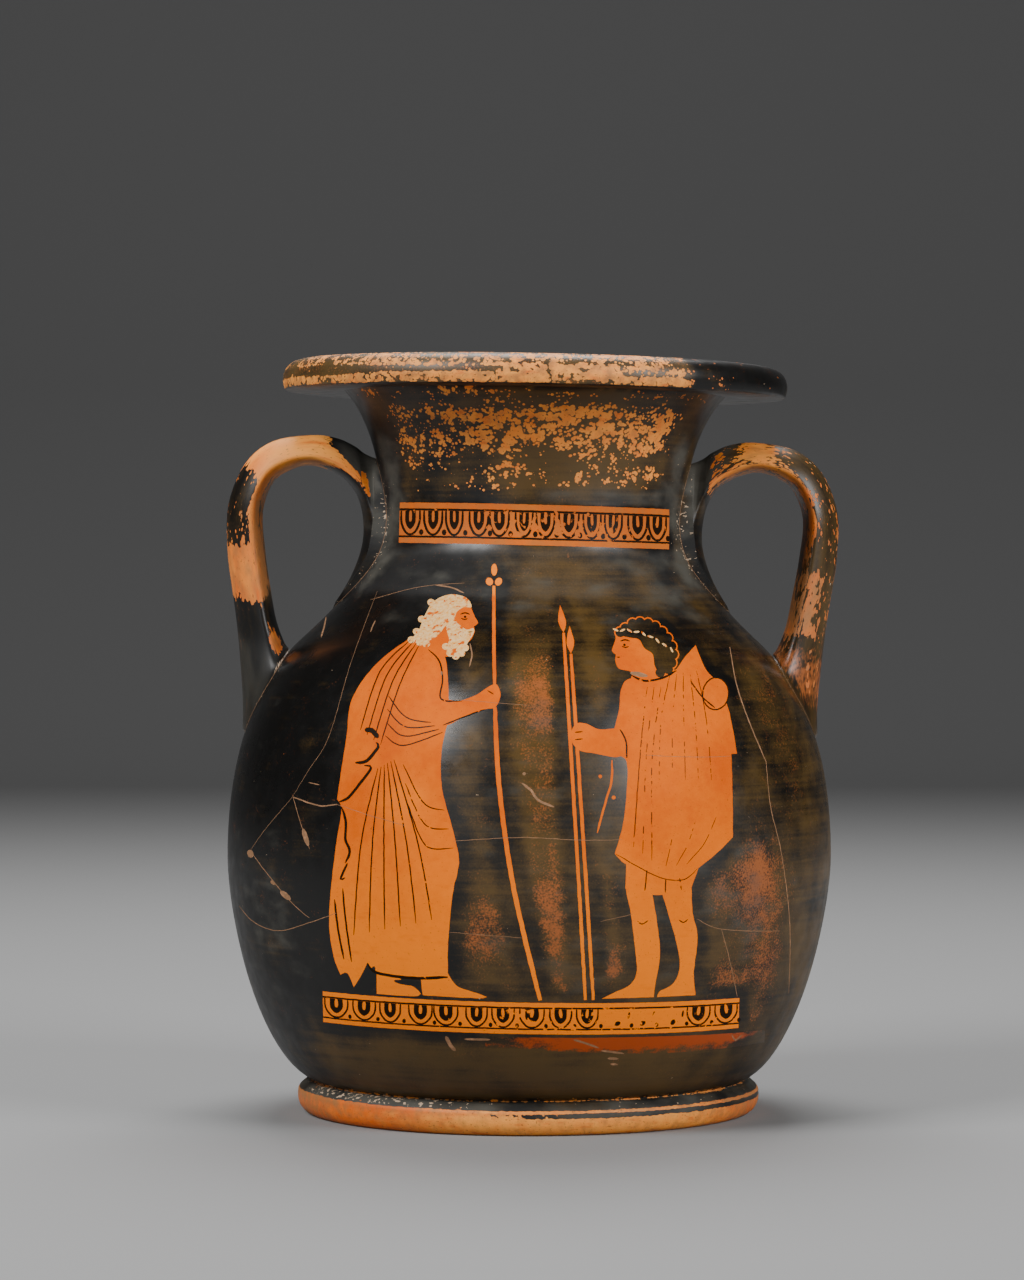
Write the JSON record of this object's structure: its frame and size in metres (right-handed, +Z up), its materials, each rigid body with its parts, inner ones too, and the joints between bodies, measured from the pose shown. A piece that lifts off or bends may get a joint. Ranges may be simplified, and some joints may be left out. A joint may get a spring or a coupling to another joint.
{
  "type": "two-handled pelike jar",
  "caption": "Wide-mouthed, sag-bellied fired-clay storage jar with an overhanging lip, a disc foot and upright side handles, painted in red-figure.",
  "frame": {"origin": "on the table under the middle of the foot", "axes": "+Z up through the mouth, X through the two handles, -Y towards the side with the two painted figures"},
  "size_m": [0.2782, 0.2752, 0.342],
  "materials": {
    "painted_clay": "black gloss slip over orange clay, worn"
  },
  "bodies": {
    "root": {"pelike": "painted_clay"}
  },
  "joints": []
}
